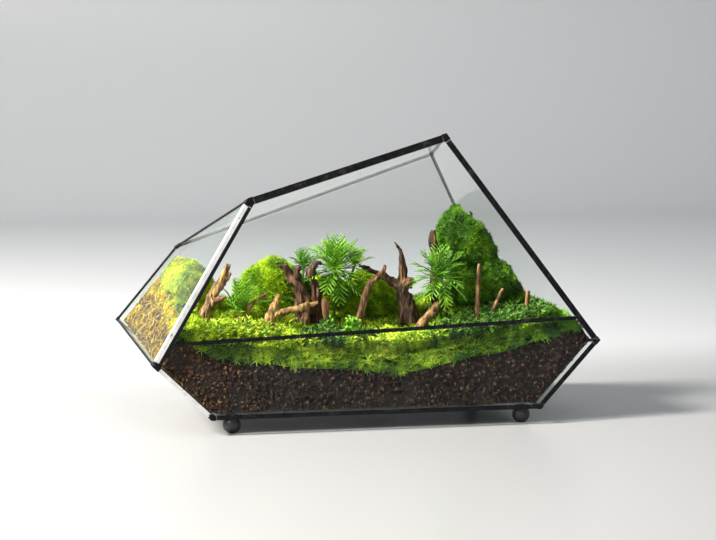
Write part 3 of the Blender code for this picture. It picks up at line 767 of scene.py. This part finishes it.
def frond(bm, root, tip, arch, leaf, pairs, shade):
    """One frond from its root to its tip, arching up between them by arch. Leaf is the length of
    its longest leaflets."""
    peak = (root + tip) / 2 + UP * arch
    leaves, ribs = [], []
    before = root
    for step in range(1, pairs + 1):
        t = step / pairs
        here = root * (1 - t) ** 2 + peak * 2 * t * (1 - t) + tip * t * t
        ahead = (here - before).normalized()
        across = ahead.cross(UP)
        across = across.normalized() if across.length > 0.2 else Vector((1, 0, 0))
        face = across.cross(ahead).normalized()
        joint = (RIB_RADIUS, RIB_RADIUS, (here - before).length * 1.05)
        ribs.append((turned(before, ahead, joint, 0), shade))
        size = leaf * (0.25 + 0.75 * math.sin(math.pi * min(1, t * 0.86 + 0.1)) ** 0.8)
        for hand in (1, -1):
            way = ahead * 0.8 + across * hand * 0.62 + face * chance.uniform(-0.3, 0.2)
            way.normalize()
            lift = face - way * face.dot(way)
            lift.normalize()
            side = lift.cross(way)
            axes = (way * size, side * size * LEAFLET_WIDTH, lift * size * LEAFLET_THICKNESS)
            matrix = Matrix(axes).transposed().to_4x4()
            matrix.translation = here
            if inside(here + way * size, 0.0006):
                leaves.append((matrix, min(1, shade + 0.35 * t + chance.uniform(-0.12, 0.12))))
        before = here
    scatter(bm, [rib_kind], ribs)
    scatter(bm, [leaflet_kind], leaves)


def fern(name, node, foot, crown, reach, count, leaf, pairs, low, brightness=0.3):
    """A stalk from foot to crown with count fronds round its top, the lowest low degrees above
    level. A fern with a node takes its place, and the small ones have none."""
    bm = bmesh.new()
    stalk = (STALK_RADIUS, STALK_RADIUS, (crown - foot).length)
    scatter(bm, [rib_kind], [(turned(foot, crown - foot, stalk), 0.1)])
    for k in range(count):
        height = math.radians(low + (STEEPEST - low) * (k + 0.5) / count)
        turn = k * GOLDEN_ANGLE
        way = Vector((math.cos(height) * math.cos(turn), math.cos(height) * math.sin(turn),
                      math.sin(height)))
        tip = crown + way * reach * chance.uniform(0.85, 1.08)
        for _ in range(10):
            tip = tip if inside(tip, 0.001) else tip.lerp(crown, 0.2)
        frond(bm, crown - way * 0.001, tip, reach * 0.28 * math.cos(height), leaf, pairs,
              brightness + chance.uniform(-0.15, 0.15))
    settle(bm, name, green, [node] if node else ())


fern("fern_middle", "fern_centre", at(-2.0, 7.0, 5.5), at(-2.0, 6.2, 10.3),
     reach=0.025, count=32, leaf=0.0110, pairs=8, low=-65)
fern("fern_by_hill", "fern_right", at(5.4, 4.6, 5.5), at(5.2, 4.3, 9.8),
     reach=0.0225, count=28, leaf=0.0100, pairs=7, low=-62, brightness=0.18)
fern("fern_small", "fern_left", at(-8.9, 5.6, 5.5), at(-8.8, 5.4, 7.4),
     reach=0.026, count=9, leaf=0.0085, pairs=10, low=25, brightness=0.5)
fern("dark_tuft", None, at(-4.4, 6.9, 8.6), at(-4.2, 6.7, 10.6),
     reach=0.013, count=16, leaf=0.0065, pairs=7, low=-40, brightness=0.0)
fern("pale_spray", None, at(-0.9, 6.9, 9.4), at(-0.5, 6.8, 10.6),
     reach=0.014, count=9, leaf=0.0065, pairs=7, low=20, brightness=0.75)
fern("hill_sprig_top", None, at(9.6, 6.6, 10.9), at(9.9, 6.4, 11.8),
     reach=0.010, count=8, leaf=0.005, pairs=6, low=10, brightness=0.35)
fern("hill_sprig_side", None, at(10.4, 6.2, 9.6), at(10.8, 5.9, 10.3),
     reach=0.009, count=8, leaf=0.005, pairs=6, low=0)

# ---- Clumps in front ---------------------------------------------------------------------------
# Looser, taller sprigs of moss and club moss grow through the carpet behind the lower pane: pale
# lime in the middle, deep green to the right, and yellow-green on the window's side.

SPRIG_LEAVES = 13
SPRIGS, SHORTEST_SPRIG, LONGEST_SPRIG = 900, 0.006, 0.0105
sprig_kinds = []
for _ in range(4):
    sprig = bmesh.new()
    bmesh.ops.create_cone(sprig, cap_ends=True, segments=3, radius1=0.05, radius2=0.02, depth=0.8,
                          matrix=Matrix.Translation((0, 0, 0.4)))
    for k in range(SPRIG_LEAVES):
        lean, turn = math.radians(chance.uniform(25, 75)), 2.4 * k
        long, rise = chance.uniform(0.3, 0.5), 0.75 * k / SPRIG_LEAVES
        bmesh.ops.create_cone(
            sprig, cap_ends=True, segments=3, radius1=0.075, radius2=0.0, depth=long,
            matrix=Matrix.Translation((0, 0, rise)) @ Matrix.Rotation(turn, 4, "Z")
            @ Matrix.Rotation(lean, 4, "X") @ Matrix.Translation((0, 0, long / 2)))
    sprig_kinds.append(as_kind(sprig, "sprig"))


def clump(name, material, liking):
    """Sprigs on the top of the carpet, thickest where liking(place) is high."""
    meadow = carved("moss_carpet", 0)
    found = sow(meadow, SPRIGS, lambda p, n: liking(p) if n.z > 0.5 else 0.0)
    meadow.free()
    bm = bmesh.new()
    places = []
    for p, n in found:
        size = chance.uniform(SHORTEST_SPRIG, LONGEST_SPRIG)
        way = (n + Vector((chance.uniform(-0.5, 0.5), chance.uniform(-0.5, 0.5), 1.2))).normalized()
        if inside(p + way * size, size * 0.4):
            places.append((turned(p + UP * 0.001, way, (size, size, size)), chance.random()))
    scatter(bm, sprig_kinds, places)
    settle(bm, name, material, smooth=False)


lime = surface("lime_moss", ((0.0, (0.05, 0.13, 0.003)), (0.4, (0.25, 0.42, 0.008)),
                             (0.75, (0.58, 0.74, 0.025)), (1.0, (0.92, 0.97, 0.15))),
               grain=90, shade=0.65, rough=(0.5, 0.8), bump=0.2, fine=1200)
deep = surface("deep_moss", ((0.0, (0.006, 0.025, 0.002)), (0.4, (0.03, 0.10, 0.004)),
                             (0.75, (0.10, 0.26, 0.010)), (1.0, (0.30, 0.52, 0.03))),
               grain=90, shade=0.65, rough=(0.5, 0.8), bump=0.2, fine=1200)


def near(place, x, y, spread):
    """Falls from 1 at a spot on the ground, in centimetres, to nothing at spread metres from it."""
    spot = at(x, y, 0)
    return max(0.0, 1 - math.hypot(place.x - spot.x, place.y - spot.y) / spread)


clump("lime_clumps", lime, lambda p: near(p, 1.6, 1.9, 0.024) + near(p, -1.0, 1.2, 0.016)
      + near(p, 3.6, 1.2, 0.018) + 0.8 * near(p, -9.5, 2.0, 0.022) + 0.5 * near(p, -6.0, 1.6, 0.02))
clump("deep_clumps", deep, lambda p: near(p, 6.0, 1.8, 0.022) + near(p, 9.2, 2.2, 0.026)
      + near(p, -3.0, 2.4, 0.02) + 0.8 * near(p, 12.0, 2.2, 0.02))

# ---- Small-leaved herb -------------------------------------------------------------------------
# Baby tears root in the moss in front of the stump. Their small round leaves turn round thin stems,
# from a third of the way up to the tip.

HERB_STEMS, STEM_LEAVES = 16, 14
STEM_RADIUS, PAD_SIZE = 0.0003, 0.0042
pad = bmesh.new()
bmesh.ops.create_icosphere(
    pad, subdivisions=1, radius=0.5,
    matrix=Matrix.Translation((0, 0, 0.5)) @ Matrix.Diagonal((0.8, 0.16, 1, 1)))
pad_kind = as_kind(pad, "pad")
herb = bmesh.new()
for _ in range(HERB_STEMS):
    foot = at(chance.uniform(-2.9, 0.0), chance.uniform(2.2, 3.4), 5.2)
    top = foot + Vector((chance.uniform(-0.005, 0.005), chance.uniform(-0.005, 0.003),
                         chance.uniform(0.012, 0.024)))
    stem = (STEM_RADIUS, STEM_RADIUS, (top - foot).length)
    scatter(herb, [rib_kind], [(turned(foot, top - foot, stem), 0.2)])
    leaves = []
    for k in range(STEM_LEAVES):
        joint = foot.lerp(top, 0.35 + 0.65 * k / (STEM_LEAVES - 1))
        way = Vector((math.cos(1.57 * k + 0.3), math.sin(1.57 * k + 0.3), 0.55)).normalized()
        leaf = turned(joint, way, (PAD_SIZE, PAD_SIZE, PAD_SIZE))
        leaves.append((leaf, chance.uniform(0.1, 0.9)))
    scatter(herb, [pad_kind], leaves)
settle(herb, "baby_tears", green)
